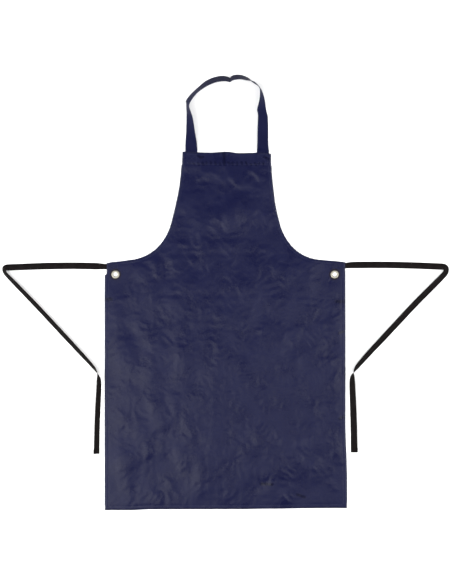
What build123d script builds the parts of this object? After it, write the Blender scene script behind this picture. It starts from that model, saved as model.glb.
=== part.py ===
"""Bib apron laid flat, front face up: +X towards the wearer's left side, +Y towards the neck and +Z out of
the front face.  The origin is the middle of the laid-out apron, measured without its two free waist ties,
on the surface that it lies on.  All sizes are in millimetres."""

import os
from math import cos, radians, sin, tan

from build123d import *

os.makedirs("parts", exist_ok=True)

# cut sizes of the front panel
skirt_width = 713.0
skirt_length = 728.0  # waist corner to bottom edge
bib_width = 264.0  # along the top edge
bib_height = 330.0  # waist corner to top edge
bib_side_radius = 800.0  # long gentle arc down each side of the bib
bib_side_turn = 15.6  # degrees that this arc turns through
armhole_radius = 144.0
armhole_turn = 66.0  # degrees

# cloth, tape and thread
cloth_thickness = 0.8
tape_thickness = 0.8
tape_width = 20.0
strap_thickness = 1.6  # the neck strap is the cloth folded double
strap_width = 36.0
thread_width = 0.6
thread_height = 0.3

# turned hems
top_hem_depth = 38.0
side_hem_depth = 12.0
bottom_hem_depth = 12.0
armhole_hem_depth = 10.0
hem_gap = 0.5  # between the ends of two hems
stitch_inset = 2.0  # seam line to the raw edge of the turned layer

# neck strap
loop_reach = 231.0  # how far the loop stands above the bib
strap_left_x = -99.0
strap_right_x = 112.4
strap_seat_length = 34.0  # sewn length under the top hem
strap_clearance = 0.05
ramp_length = 30.0  # over which the panel climbs onto the sewn strap ends

# waist ties
tie_seat_length = 40.0  # sewn length behind the waist corner
tie_drop = 10.0  # waist corner down to the middle of the tape
tip_fold_length = 12.0

# eyelets at the waist corners
eyelet_spread = 325.4  # middle of the panel to the eyelet
eyelet_drop = 33.0  # waist corner down to the eyelet
eyelet_bore_radius = 6.35
eyelet_wall = 0.55
eyelet_flange_radius = 12.25
eyelet_flange_height = 0.9
eyelet_curl = 0.3  # rolled end of the barrel, over the washer
eyelet_curl_reach = 1.6
eyelet_clearance = 0.1

# folds: each soft strip turns about a line just outside the panel's edge
fold_gap = 3.0

# heights of the layers
under_layer = max(cloth_thickness, tape_thickness)
strap_layer = strap_thickness + strap_clearance
panel_base = under_layer
bib_base = panel_base + strap_layer

# places worked out from the sizes
total_length = skirt_length + bib_height + loop_reach
bib_top = total_length / 2 - loop_reach
waist = bib_top - bib_height
bottom = waist - skirt_length
half_skirt = skirt_width / 2
half_bib = bib_width / 2
ramp_end = bib_top - top_hem_depth - hem_gap
ramp_start = ramp_end - ramp_length
tie_level = waist - tie_drop
eyelet_level = waist - eyelet_drop
barrel_radius = eyelet_bore_radius + eyelet_wall
hole_radius = barrel_radius + eyelet_clearance
tall = bib_base + strap_width  # above everything, for cutting through


def save(piece, name):
    """Label one finished piece and write its own file."""
    piece.part.label = name
    export_step(piece.part, f"parts/{name}.step")


# ---------------------------------------------------------------- flat outlines
with BuildSketch() as panel_outline:
    with BuildLine():
        Line((0, bib_top), (half_bib, bib_top))
        side = JernArc((half_bib, bib_top), (0, -1), bib_side_radius, bib_side_turn)
        armhole = JernArc(side @ 1, side % 1, armhole_radius, armhole_turn)
        TangentArc(armhole @ 1, (half_skirt, waist), tangent=armhole % 1)
        Line((half_skirt, waist), (half_skirt, bottom))
        Line((half_skirt, bottom), (0, bottom))
        Line((0, bottom), (0, bib_top))
    make_face()
    mirror(about=Plane.YZ)


def laid_profile(rise, thickness):
    """Side profile, seen along X, of a layer that lies flat and climbs onto the strap ends."""
    low = rise
    high = rise + strap_layer
    return [
        (bottom, low),
        (ramp_start, low),
        (ramp_end, high),
        (bib_top, high),
        (bib_top, high + thickness),
        (ramp_end, high + thickness),
        (ramp_start, low + thickness),
        (bottom, low + thickness),
    ]


def edge_band(outer, inner):
    """The strip between two distances in from the panel's edge."""
    with BuildSketch() as band:
        if outer > 0:
            offset(panel_outline.sketch, amount=-outer)
        else:
            add(panel_outline.sketch)
        offset(panel_outline.sketch, amount=-inner, mode=Mode.SUBTRACT)
    return band.sketch


def laid_layer(outline, rise, thickness):
    """A layer of the given flat outline that follows the climb of the panel."""
    with BuildPart() as layer:
        with BuildSketch(Plane.YZ.offset(-half_skirt)):
            with BuildLine():
                Polyline(laid_profile(rise, thickness), close=True)
            make_face()
        extrude(amount=skirt_width)
        with BuildSketch():
            add(outline)
        extrude(amount=tall, mode=Mode.INTERSECT)
    return layer


def armhole_strip(outer, inner, sign):
    """The part of an edge strip that runs down one side of the bib and round its armhole."""
    seat_edge = half_skirt - tie_seat_length - hem_gap
    with BuildSketch() as strip:
        add(edge_band(outer, inner))
        with Locations((sign * seat_edge / 2, (waist + ramp_end) / 2)):
            Rectangle(seat_edge, ramp_end - waist + 2 * armhole_hem_depth, mode=Mode.INTERSECT)
        with Locations((0, ramp_end)):
            Rectangle(skirt_width, 2 * armhole_hem_depth, align=(Align.CENTER, Align.MIN), mode=Mode.SUBTRACT)
    return strip.sketch


# ---------------------------------------------------------------- front panel
with BuildPart() as front_panel:
    with BuildSketch(Plane.YZ.offset(-half_skirt)):
        with BuildLine():
            Polyline(laid_profile(panel_base, cloth_thickness), close=True)
        make_face()
    extrude(amount=skirt_width)
    with BuildSketch():
        add(panel_outline.sketch)
        with Locations((-eyelet_spread, eyelet_level), (eyelet_spread, eyelet_level)):
            Circle(hole_radius, mode=Mode.SUBTRACT)
    extrude(amount=tall, mode=Mode.INTERSECT)
save(front_panel, "front_panel")

# ---------------------------------------------------------------- turned hems
with BuildPart() as top_hem:
    with BuildSketch(Plane.XY.offset(bib_base - cloth_thickness)):
        add(panel_outline.sketch)
        with Locations((0, bib_top)):
            Rectangle(skirt_width, top_hem_depth, align=(Align.CENTER, Align.MAX), mode=Mode.INTERSECT)
    extrude(amount=cloth_thickness)
save(top_hem, "top_hem")

with BuildPart() as bottom_hem:
    with BuildSketch(Plane.XY.offset(panel_base - cloth_thickness)):
        with Locations((0, bottom)):
            Rectangle(skirt_width, bottom_hem_depth, align=(Align.CENTER, Align.MIN))
    extrude(amount=cloth_thickness)
save(bottom_hem, "bottom_hem")

side_hem_top = eyelet_level - eyelet_flange_radius - hem_gap
side_hem_bottom = bottom + bottom_hem_depth + hem_gap
for side_name, sign in (("left", -1), ("right", 1)):
    with BuildPart() as side_hem:
        with BuildSketch(Plane.XY.offset(panel_base - cloth_thickness)):
            with Locations((sign * (half_skirt - side_hem_depth / 2), side_hem_bottom)):
                Rectangle(
                    side_hem_depth,
                    side_hem_top - side_hem_bottom,
                    align=(Align.CENTER, Align.MIN),
                )
        extrude(amount=cloth_thickness)
    save(side_hem, f"{side_name}_side_hem")

    armhole_hem = laid_layer(
        armhole_strip(0, armhole_hem_depth, sign),
        panel_base - cloth_thickness,
        cloth_thickness,
    )
    save(armhole_hem, f"{side_name}_armhole_hem")

# ---------------------------------------------------------------- seam threads on the front face
panel_face = panel_base + cloth_thickness
bib_face = bib_base + cloth_thickness


def thread_outline(lines):
    """Thread laid along straight lines, each given as its two ends."""
    with BuildSketch() as outline:
        for start, end in lines:
            with BuildLine():
                run = Line(start, end)
            trace(run, line_width=thread_width)
    return outline.sketch


def flat_thread(outline, height):
    """Thread of the given outline lying on a flat stretch of the front face."""
    with BuildPart() as thread:
        with BuildSketch(Plane.XY.offset(height)):
            add(outline)
        extrude(amount=thread_height)
    return thread


def box_stitch(centre_x, centre_y, width, height):
    """The lines of a sewn box with a cross in it."""
    left = centre_x - width / 2
    right = centre_x + width / 2
    low = centre_y - height / 2
    high = centre_y + height / 2
    return [
        ((left, low), (right, low)),
        ((right, low), (right, high)),
        ((right, high), (left, high)),
        ((left, high), (left, low)),
        ((left, low), (right, high)),
        ((left, high), (right, low)),
    ]


top_seam = bib_top - top_hem_depth + stitch_inset
seam_half = half_bib - armhole_hem_depth
save(
    flat_thread(thread_outline([((-seam_half, top_seam), (seam_half, top_seam))]), bib_face),
    "top_hem_stitching",
)

bottom_seam = bottom + bottom_hem_depth - stitch_inset
seam_end = half_skirt - side_hem_depth
save(
    flat_thread(thread_outline([((-seam_end, bottom_seam), (seam_end, bottom_seam))]), panel_face),
    "bottom_hem_stitching",
)

for side_name, sign in (("left", -1), ("right", 1)):
    seam_x = sign * (half_skirt - side_hem_depth + stitch_inset)
    side_lines = [((seam_x, bottom_seam + hem_gap + thread_width), (seam_x, side_hem_top))]
    save(flat_thread(thread_outline(side_lines), panel_face), f"{side_name}_side_stitching")

    seam_depth = armhole_hem_depth - stitch_inset
    armhole_thread = laid_layer(
        armhole_strip(seam_depth - thread_width / 2, seam_depth + thread_width / 2, sign),
        panel_face,
        thread_height,
    )
    save(armhole_thread, f"{side_name}_armhole_stitching")

# ---------------------------------------------------------------- neck strap, sewn ends
strap_inset = 4.0  # seam line to the strap's edge
strap_seat_top = bib_top - fold_gap
box_centre = (top_seam + thread_width + strap_seat_top) / 2
box_height = strap_seat_top - top_seam - 2 * strap_inset
for side_name, strap_x in (("left", strap_left_x), ("right", strap_right_x)):
    with BuildPart() as strap_end:
        with BuildSketch():
            with Locations((strap_x, strap_seat_top)):
                Rectangle(strap_width, strap_seat_length - fold_gap, align=(Align.CENTER, Align.MAX))
        extrude(amount=strap_thickness)
    save(strap_end, f"neck_strap_{side_name}_end")

    box_lines = box_stitch(strap_x, box_centre, strap_width - 2 * strap_inset, box_height)
    save(flat_thread(thread_outline(box_lines), bib_face), f"neck_strap_{side_name}_stitching")

# ---------------------------------------------------------------- waist ties, sewn ends
tape_inset = 3.0
for side_name, sign in (("left", -1), ("right", 1)):
    seat_x = sign * (half_skirt - tie_seat_length / 2)
    with BuildPart() as tie_end:
        with BuildSketch(Plane.XY.offset(under_layer - tape_thickness)):
            with Locations((seat_x, tie_level)):
                Rectangle(tie_seat_length, tape_width)
        extrude(amount=tape_thickness)
    save(tie_end, f"{side_name}_tie_end")

    tie_lines = box_stitch(
        seat_x,
        tie_level,
        tie_seat_length - 2 * tape_inset,
        tape_width - 2 * tape_inset,
    )
    save(flat_thread(thread_outline(tie_lines), panel_face), f"{side_name}_tie_stitching")

# ---------------------------------------------------------------- eyelets and their washers
washer_base = eyelet_curl
washer_height = panel_base - washer_base
for side_name, sign in (("left", -1), ("right", 1)):
    axis_plane = Plane(
        origin=(sign * eyelet_spread, eyelet_level, 0),
        x_dir=(1, 0, 0),
        z_dir=(0, -1, 0),
    )
    with BuildPart() as eyelet:
        with BuildSketch(axis_plane):
            with BuildLine():
                flange_edge = (eyelet_flange_radius, panel_face)
                crown = ((barrel_radius + eyelet_flange_radius) / 2, panel_face + eyelet_flange_height)
                throat = (eyelet_bore_radius, panel_face + eyelet_flange_height / 2)
                ThreePointArc(flange_edge, crown, throat)
                Polyline(
                    throat,
                    (eyelet_bore_radius, 0),
                    (barrel_radius + eyelet_curl_reach, 0),
                    (barrel_radius + eyelet_curl_reach, eyelet_curl),
                    (barrel_radius, eyelet_curl),
                    (barrel_radius, panel_face),
                    flange_edge,
                )
            make_face()
        revolve(axis=Axis((sign * eyelet_spread, eyelet_level, 0), (0, 0, 1)))
    save(eyelet, f"{side_name}_eyelet")

    with BuildPart() as washer:
        with BuildSketch(Plane.XY.offset(washer_base)):
            with Locations((sign * eyelet_spread, eyelet_level)):
                Circle(eyelet_flange_radius)
                Circle(hole_radius, mode=Mode.SUBTRACT)
        extrude(amount=washer_height)
    save(washer, f"{side_name}_eyelet_washer")

# ---------------------------------------------------------------- free neck loop
# Points are (x, distance above the bib).  The strap lies flat at the bib and leans up on its outer
# edge over the arch; each lean is in degrees from flat.
loop_route = [
    (strap_left_x, fold_gap, 0),
    (strap_left_x - 3, 48, 35),
    (strap_left_x - 7, 96, 56),
    (strap_left_x - 12, 137, 77),
    (strap_left_x - 10, 156, 76),
    (strap_left_x + 23, 190, 74),
    (strap_left_x + 54, 209, 71),
    (strap_left_x + 84, loop_reach - 14, 69),
    (strap_right_x - 98, loop_reach - 15, 72),
    (strap_right_x - 68, loop_reach - 8.5, 69),
    (strap_right_x - 38, loop_reach - 17, 79),
    (strap_right_x - 16, 201, 88),
    (strap_right_x - 4, 178, 77),
    (strap_right_x - 2, 153, 66),
    (strap_right_x, 117, 42),
    (strap_right_x, 82, 31),
    (strap_right_x, 38, 18),
    (strap_right_x, fold_gap, 0),
]
loop_sections_per_span = 2

loop_line = Spline(
    [(x, bib_top + reach, 0) for x, reach, lean in loop_route],
    tangents=[(0, 1, 0), (0, -1, 0)],
)


def loop_station(place, lean):
    """Section plane of the strap: local x across the strap, z along it."""
    point = loop_line.position_at(place)
    along = loop_line.tangent_at(place)
    inward = Vector(along.Y, -along.X, 0)
    across = inward * cos(radians(lean)) + Vector(0, 0, sin(radians(lean)))
    middle = strap_width / 2 * sin(radians(lean)) + strap_thickness / 2 * cos(radians(lean))
    return Plane(origin=point + Vector(0, 0, middle), x_dir=across, z_dir=along)


loop_places = [
    loop_line.param_at_point((x, bib_top + reach, 0)) for x, reach, lean in loop_route
]
with BuildPart() as neck_loop:
    for span in range(len(loop_route) - 1):
        for step in range(loop_sections_per_span):
            share = step / loop_sections_per_span
            place = loop_places[span] * (1 - share) + loop_places[span + 1] * share
            lean = loop_route[span][2] * (1 - share) + loop_route[span + 1][2] * share
            with BuildSketch(loop_station(place, lean)):
                Rectangle(strap_width, strap_thickness)
    with BuildSketch(loop_station(loop_places[-1], loop_route[-1][2])):
        Rectangle(strap_width, strap_thickness)
    loft(ruled=True)
save(neck_loop, "neck_loop")

# ---------------------------------------------------------------- free waist ties
# Each route is the middle of the tape from the fold line beside the panel to the loose tip.
left_tie_route = [
    (-half_skirt - fold_gap, tie_level),
    (-half_skirt - 92, tie_level + 2.9),
    (-half_skirt - 180, tie_level + 1.1),
    (-half_skirt - 238, tie_level - 0.9),
    (-half_skirt - 283, tie_level + 5.3),
    (-half_skirt - 299, tie_level - 25.2),
    (-half_skirt - 262, tie_level - 55.7),
    (-half_skirt - 203, tie_level - 115.2),
    (-half_skirt - 121, tie_level - 203.7),
    (-half_skirt - 66, tie_level - 262.7),
    (-half_skirt - 29, tie_level - 302.7),
    (-half_skirt - 17, tie_level - 340.7),
    (-half_skirt - 20.5, tie_level - 412.7),
    (-half_skirt - 23.5, tie_level - 485.7),
    (-half_skirt - 24.5, tie_level - 554.7),
]
right_tie_route = [
    (half_skirt + fold_gap, tie_level + 1.5),
    (half_skirt + 94, tie_level + 4.5),
    (half_skirt + 182, tie_level + 3.7),
    (half_skirt + 240, tie_level + 1.1),
    (half_skirt + 285, tie_level + 4.3),
    (half_skirt + 299, tie_level - 27.7),
    (half_skirt + 262, tie_level - 56.7),
    (half_skirt + 206, tie_level - 111.2),
    (half_skirt + 126, tie_level - 197.7),
    (half_skirt + 72, tie_level - 254.7),
    (half_skirt + 34, tie_level - 297.7),
    (half_skirt + 20.5, tie_level - 336.7),
    (half_skirt + 23.5, tie_level - 408.7),
    (half_skirt + 26, tie_level - 481.7),
    (half_skirt + 27, tie_level - 550.7),
]

arc_share = 0.45  # of the shorter run beside a corner that its arc takes up


def corner_radii(route):
    """The largest arc that each corner's two runs allow."""
    radii = []
    for before, corner, after in zip(route, route[1:], route[2:]):
        run_in = Vector(*corner) - Vector(*before)
        run_out = Vector(*after) - Vector(*corner)
        turn = radians(run_in.get_angle(run_out))
        radii.append(arc_share * min(run_in.length, run_out.length) / tan(turn / 2))
    return radii


for side_name, route in (("left", left_tie_route), ("right", right_tie_route)):
    radii = corner_radii(route)
    tie_base = under_layer - tape_thickness
    first_run = Vector(*route[1]) - Vector(*route[0])
    start_plane = Plane(
        origin=(route[0][0], route[0][1], tie_base + tape_thickness / 2),
        z_dir=(first_run.X, first_run.Y, 0),
        x_dir=(first_run.Y, -first_run.X, 0),
    )
    with BuildPart() as tie:
        with BuildLine(Plane.XY.offset(tie_base + tape_thickness / 2)):
            centre_line = FilletPolyline(route, radius=radii)
        with BuildSketch(start_plane):
            Rectangle(tape_width, tape_thickness)
        sweep(path=centre_line)
    save(tie, f"{side_name}_tie")
    print(side_name, "tie radii", [round(radius, 1) for radius in radii])
    print(side_name, "tie length", round(centre_line.length, 1))
    print(side_name, "tie volume over section", round(tie.part.volume / (tape_width * tape_thickness), 1))

    tip_direction = centre_line % 1
    tip_end = centre_line @ 1
    with BuildPart() as tip_fold:
        tip_plane = Plane(
            origin=(tip_end.X, tip_end.Y, tie_base + tape_thickness),
            x_dir=(tip_direction.X, tip_direction.Y, 0),
            z_dir=(0, 0, 1),
        )
        with BuildSketch(tip_plane):
            Rectangle(tip_fold_length, tape_width, align=(Align.MAX, Align.CENTER))
        extrude(amount=tape_thickness)
    save(tip_fold, f"{side_name}_tie_tip_fold")
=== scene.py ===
import math

import bmesh
import bpy
import numpy as np
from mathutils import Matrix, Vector, kdtree, noise
from mathutils.geometry import delaunay_2d_cdt


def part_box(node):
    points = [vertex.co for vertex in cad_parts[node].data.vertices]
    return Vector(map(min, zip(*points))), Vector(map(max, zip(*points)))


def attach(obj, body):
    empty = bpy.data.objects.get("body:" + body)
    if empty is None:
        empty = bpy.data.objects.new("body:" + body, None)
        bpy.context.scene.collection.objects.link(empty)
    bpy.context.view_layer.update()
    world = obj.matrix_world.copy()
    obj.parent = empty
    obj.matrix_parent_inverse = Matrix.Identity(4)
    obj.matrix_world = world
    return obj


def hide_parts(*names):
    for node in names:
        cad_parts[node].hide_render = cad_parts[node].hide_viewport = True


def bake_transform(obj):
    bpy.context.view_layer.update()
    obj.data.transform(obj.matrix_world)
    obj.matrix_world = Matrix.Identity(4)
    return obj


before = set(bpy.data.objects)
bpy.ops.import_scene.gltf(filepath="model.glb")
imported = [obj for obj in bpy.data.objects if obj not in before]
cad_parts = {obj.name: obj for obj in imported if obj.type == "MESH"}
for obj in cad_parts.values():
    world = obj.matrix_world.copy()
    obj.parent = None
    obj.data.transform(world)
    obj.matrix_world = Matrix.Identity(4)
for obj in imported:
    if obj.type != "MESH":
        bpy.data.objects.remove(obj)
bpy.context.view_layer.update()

mm = 0.001
scene = bpy.context.scene


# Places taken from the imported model
def middle(node):
    low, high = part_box(node)
    return (low + high) / 2


panelLow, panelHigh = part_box("front_panel")
halfSkirt = panelHigh.x
bibTop = panelHigh.y
bottom = panelLow.y
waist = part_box("left_tie_end")[1].y
panelUnder = panelLow.z
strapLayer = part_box("top_hem")[0].z  # how far the sewn strap ends lift the bib
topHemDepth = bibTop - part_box("top_hem")[0].y
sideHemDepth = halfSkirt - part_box("right_side_hem")[0].x
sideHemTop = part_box("right_side_hem")[1].y
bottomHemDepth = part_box("bottom_hem")[1].y - bottom
tieLevel = middle("left_tie_end").y
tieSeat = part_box("left_tie_end")[1].x + halfSkirt
eyeletMiddle = middle("right_eyelet")
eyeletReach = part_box("right_eyelet")[1].x - eyeletMiddle.x
strapSeats = [middle("neck_strap_left_end"), middle("neck_strap_right_end")]
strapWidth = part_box("neck_strap_left_end")[1].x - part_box("neck_strap_left_end")[0].x
print("frame loaded:", len(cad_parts), "nodes")


# Camera, straight above the laid-out apron
view = {"height": 5.78, "lens": 120.0, "x": 0.0028, "y": -0.0017}


def makeCamera():
    data = bpy.data.cameras.new("overheadCamera")
    data.lens = view["lens"]
    data.clip_end = 50.0
    camera = bpy.data.objects.new("overheadCamera", data)
    camera.location = (view["x"], view["y"], view["height"])
    scene.collection.objects.link(camera)
    scene.camera = camera


makeCamera()
print("camera ready")


# Node helpers
def addNode(tree, kind, **settings):
    made = tree.nodes.new(kind)
    for name, value in settings.items():
        if hasattr(made, name):
            setattr(made, name, value)
        else:
            made.inputs[name.replace("_", " ")].default_value = value
    return made


def math2(tree, operation, first, second=0.5, clamp=False):
    made = tree.nodes.new("ShaderNodeMath")
    made.operation = operation
    made.use_clamp = clamp
    for socket, value in zip(made.inputs, (first, second)):
        if isinstance(value, (int, float)):
            socket.default_value = value
        else:
            tree.links.new(value, socket)
    return made.outputs[0]


def newGroup(name, inputs, outputs):
    group = bpy.data.node_groups.new(name, "ShaderNodeTree")
    for label, kind, value in inputs:
        socket = group.interface.new_socket(name=label, in_out="INPUT", socket_type=kind)
        if value is not None:
            socket.default_value = value
    for label, kind in outputs:
        group.interface.new_socket(name=label, in_out="OUTPUT", socket_type=kind)
    return group, group.nodes.new("NodeGroupInput"), group.nodes.new("NodeGroupOutput")


def makeWeaveGroup():
    # over and under threads of a plain weave
    group, source, result = newGroup(
        "plainWeave",
        [("Vector", "NodeSocketVector", None), ("Threads", "NodeSocketFloat", 1800.0)],
        [("Height", "NodeSocketFloat")],
    )
    split = group.nodes.new("ShaderNodeSeparateXYZ")
    group.links.new(source.outputs["Vector"], split.inputs[0])
    turns = math2(group, "MULTIPLY", source.outputs["Threads"], math.pi)
    across = math2(group, "SINE", math2(group, "MULTIPLY", split.outputs[0], turns))
    along = math2(group, "SINE", math2(group, "MULTIPLY", split.outputs[1], turns))
    over = math2(group, "MULTIPLY", across, along)
    rounded = math2(group, "MULTIPLY", math2(group, "ABSOLUTE", across), math2(group, "ABSOLUTE", along))
    height = math2(group, "ADD", math2(group, "MULTIPLY", over, 0.5), math2(group, "MULTIPLY", rounded, 0.5))
    group.links.new(height, result.inputs["Height"])
    return group


def makeTwillGroup():
    # slanting ribs of a woven tape, turning over in zigzag bands
    group, source, result = newGroup(
        "herringTwill",
        [
            ("Vector", "NodeSocketVector", None),
            ("Ribs", "NodeSocketFloat", 900.0),
            ("Band", "NodeSocketFloat", 0.005),
        ],
        [("Height", "NodeSocketFloat")],
    )
    split = group.nodes.new("ShaderNodeSeparateXYZ")
    group.links.new(source.outputs["Vector"], split.inputs[0])
    zigzag = math2(group, "PINGPONG", split.outputs[0], source.outputs["Band"])
    slanted = math2(group, "ADD", split.outputs[1], zigzag)
    turns = math2(group, "MULTIPLY", source.outputs["Ribs"], 2 * math.pi)
    ribs = math2(group, "SINE", math2(group, "MULTIPLY", slanted, turns))
    group.links.new(math2(group, "MULTIPLY_ADD", ribs, 0.5), result.inputs["Height"])
    return group


def makeCrumpleGroup():
    # shallow handling creases and soft mottling, from three sizes of noise
    group, source, result = newGroup(
        "handledCloth",
        [
            ("Vector", "NodeSocketVector", None),
            ("Crease Scale", "NodeSocketFloat", 40.0),
            ("Mottle Scale", "NodeSocketFloat", 14.0),
        ],
        [("Height", "NodeSocketFloat"), ("Mottle", "NodeSocketFloat")],
    )
    coarse = addNode(group, "ShaderNodeTexNoise", Detail=3.0, Roughness=0.55, Distortion=0.6)
    fine = addNode(group, "ShaderNodeTexNoise", Detail=2.0, Roughness=0.5, Distortion=0.3)
    mottle = addNode(group, "ShaderNodeTexNoise", Detail=4.0, Roughness=0.6)
    for made in (coarse, fine, mottle):
        group.links.new(source.outputs["Vector"], made.inputs["Vector"])
    group.links.new(source.outputs["Crease Scale"], coarse.inputs["Scale"])
    group.links.new(math2(group, "MULTIPLY", source.outputs["Crease Scale"], 3.7), fine.inputs["Scale"])
    group.links.new(source.outputs["Mottle Scale"], mottle.inputs["Scale"])
    centred = math2(group, "SUBTRACT", coarse.outputs["Fac"], 0.5)
    ridge = math2(group, "SUBTRACT", 0.25, math2(group, "ABSOLUTE", centred))
    height = math2(group, "ADD", ridge, math2(group, "MULTIPLY", fine.outputs["Fac"], 0.22))
    group.links.new(height, result.inputs["Height"])
    group.links.new(mottle.outputs["Fac"], result.inputs["Mottle"])
    return group


def makeRubGroup():
    # where edges have rubbed pale, broken up by noise
    group, source, result = newGroup(
        "edgeRub",
        [
            ("Vector", "NodeSocketVector", None),
            ("Rub", "NodeSocketFloat", 0.0),
            ("Amount", "NodeSocketFloat", 0.5),
        ],
        [("Mask", "NodeSocketFloat")],
    )
    grain = addNode(group, "ShaderNodeTexNoise", Scale=260.0, Detail=3.0, Roughness=0.6)
    group.links.new(source.outputs["Vector"], grain.inputs["Vector"])
    broken = math2(group, "MULTIPLY", grain.outputs["Fac"], 1.6)
    worn = math2(group, "MULTIPLY", broken, source.outputs["Rub"])
    group.links.new(math2(group, "MULTIPLY", worn, source.outputs["Amount"], True), result.inputs["Mask"])
    return group


weaveGroup = makeWeaveGroup()
twillGroup = makeTwillGroup()
crumpleGroup = makeCrumpleGroup()
rubGroup = makeRubGroup()


def placeGroup(tree, group, vector, **values):
    made = tree.nodes.new("ShaderNodeGroup")
    made.node_tree = group
    if vector is not None:
        tree.links.new(vector, made.inputs["Vector"])
    for name, value in values.items():
        socket = made.inputs[name.replace("_", " ")]
        if isinstance(value, (int, float)):
            socket.default_value = value
        else:
            tree.links.new(value, socket)
    return made


def startMaterial(name, roughness, specular, metallic=0.0):
    material = bpy.data.materials.new(name)
    material.use_nodes = True
    tree = material.node_tree
    shader = tree.nodes["Principled BSDF"]
    shader.inputs["Roughness"].default_value = roughness
    shader.inputs["Specular IOR Level"].default_value = specular
    shader.inputs["Metallic"].default_value = metallic
    return material, tree, shader


def mixColour(tree, share, first, second):
    made = tree.nodes.new("ShaderNodeMix")
    made.data_type = "RGBA"
    tree.links.new(share, made.inputs["Factor"])
    for socket, value in ((made.inputs["A"], first), (made.inputs["B"], second)):
        if isinstance(value, tuple):
            socket.default_value = (*value, 1.0)
        else:
            tree.links.new(value, socket)
    return made.outputs["Result"]


def mapRange(tree, value, low, high, newLow, newHigh):
    made = tree.nodes.new("ShaderNodeMapRange")
    tree.links.new(value, made.inputs["Value"])
    for name, number in zip(("From Min", "From Max", "To Min", "To Max"), (low, high, newLow, newHigh)):
        made.inputs[name].default_value = number
    return made.outputs["Result"]


def addBump(tree, shader, height, distance, strength=1.0, under=None):
    bump = tree.nodes.new("ShaderNodeBump")
    bump.inputs["Strength"].default_value = strength
    bump.inputs["Distance"].default_value = distance
    tree.links.new(height, bump.inputs["Height"])
    if under is not None:
        tree.links.new(under, bump.inputs["Normal"])
    tree.links.new(bump.outputs["Normal"], shader.inputs["Normal"])
    return bump.outputs["Normal"]


# Finishes
coatedCloth = {
    "navy": (0.0055, 0.0064, 0.0255),
    "deepNavy": (0.0038, 0.0045, 0.0212),
    "rubbed": (0.036, 0.039, 0.068),
    "rimShade": (0.0060, 0.0036, 0.0040),  # painted shade: a dark ring round each eyelet's rim, standing in for the shadow of the groove it presses into the cloth
    "rimShadeRing": 14.4 * mm,
    "rimShadeWidth": 3.8 * mm,
    "creaseShade": (0.0024, 0.0026, 0.0100),  # painted shade: dark colour along sharp creases, standing in for the shade inside them; the cloth there is also smoother
    "creaseShadeGloss": 0.16,
    "roughness": 0.29,
    "specular": 0.17,
    "creaseDepth": 0.8 * mm,
    "weaveDepth": 0.02 * mm,
    "threadsPerMetre": 1700.0,
}


def paintRimShade(tree, coordinates, look):
    # mask of the painted shade rings round the two eyelets' rims, standing in for the shadow of the grooves
    # they press into the cloth
    split = tree.nodes.new("ShaderNodeSeparateXYZ")
    tree.links.new(coordinates, split.inputs[0])
    across = math2(tree, "SUBTRACT", math2(tree, "ABSOLUTE", split.outputs[0]), eyeletMiddle.x)
    upward = math2(tree, "SUBTRACT", split.outputs[1], eyeletMiddle.y)
    squares = math2(tree, "ADD", math2(tree, "POWER", across, 2.0), math2(tree, "POWER", upward, 2.0))
    away = math2(tree, "ABSOLUTE", math2(tree, "SUBTRACT", math2(tree, "SQRT", squares), look["rimShadeRing"]))
    return mapRange(tree, away, 0.0, look["rimShadeWidth"], 0.9, 0.0)


def makeCoatedCloth(name, look, useMap=False):
    material, tree, shader = startMaterial(name, look["roughness"], look["specular"])
    coordinates = tree.nodes.new("ShaderNodeTexCoord").outputs["UV" if useMap else "Object"]
    crumple = placeGroup(tree, crumpleGroup, coordinates)
    weave = placeGroup(tree, weaveGroup, coordinates, Threads=look["threadsPerMetre"])
    rub = addNode(tree, "ShaderNodeAttribute", attribute_name="rub")
    mask = placeGroup(tree, rubGroup, coordinates, Rub=rub.outputs["Fac"], Amount=look.get("wear", 0.35))
    # painted shade: this mask darkens the colour along sharp creases, standing in for the shade inside them
    creaseShade = addNode(tree, "ShaderNodeAttribute", attribute_name="creaseShade").outputs["Fac"]
    mottle = mapRange(tree, crumple.outputs["Mottle"], 0.35, 0.65, 0.0, 1.0)
    base = mixColour(tree, mottle, look["deepNavy"], look["navy"])
    colour = mixColour(tree, mask.outputs["Mask"], base, look["rubbed"])
    if not useMap:
        # painted shade: dark rings round the eyelets stand in for the shadow in the grooves round their
        # flanges
        colour = mixColour(tree, paintRimShade(tree, coordinates, look), colour, look["rimShade"])
    tree.links.new(mixColour(tree, creaseShade, colour, look["creaseShade"]), shader.inputs["Base Color"])
    spread = look["roughness"]
    rough = mapRange(tree, crumple.outputs["Mottle"], 0.3, 0.7, spread - 0.06, spread + 0.08)
    smoother = math2(tree, "MULTIPLY", creaseShade, look["creaseShadeGloss"])
    tree.links.new(math2(tree, "SUBTRACT", rough, smoother), shader.inputs["Roughness"])
    creased = addBump(tree, shader, crumple.outputs["Height"], look["creaseDepth"])
    addBump(tree, shader, weave.outputs["Height"], look["weaveDepth"], 1.0, creased)
    return material


clothFront = makeCoatedCloth("navyCoatedFace", coatedCloth)
clothBack = makeCoatedCloth(
    "navyWovenBack",
    {**coatedCloth, "roughness": 0.78, "specular": 0.15, "weaveDepth": 0.08 * mm, "threadsPerMetre": 1100.0},
)
strapLook = {
    **coatedCloth,
    "roughness": 0.50,
    "specular": 0.040,
    "creaseDepth": 0.35 * mm,
    "wear": 0.6,
}
strapCloth = makeCoatedCloth("navyStrapCloth", strapLook, True)

tapeLook = {
    "black": (0.0050, 0.0041, 0.0041),
    "faded": (0.0125, 0.0104, 0.0104),
    "roughness": 0.90,
    "specular": 0.05,
    "ribDepth": 0.12 * mm,
}


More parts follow.
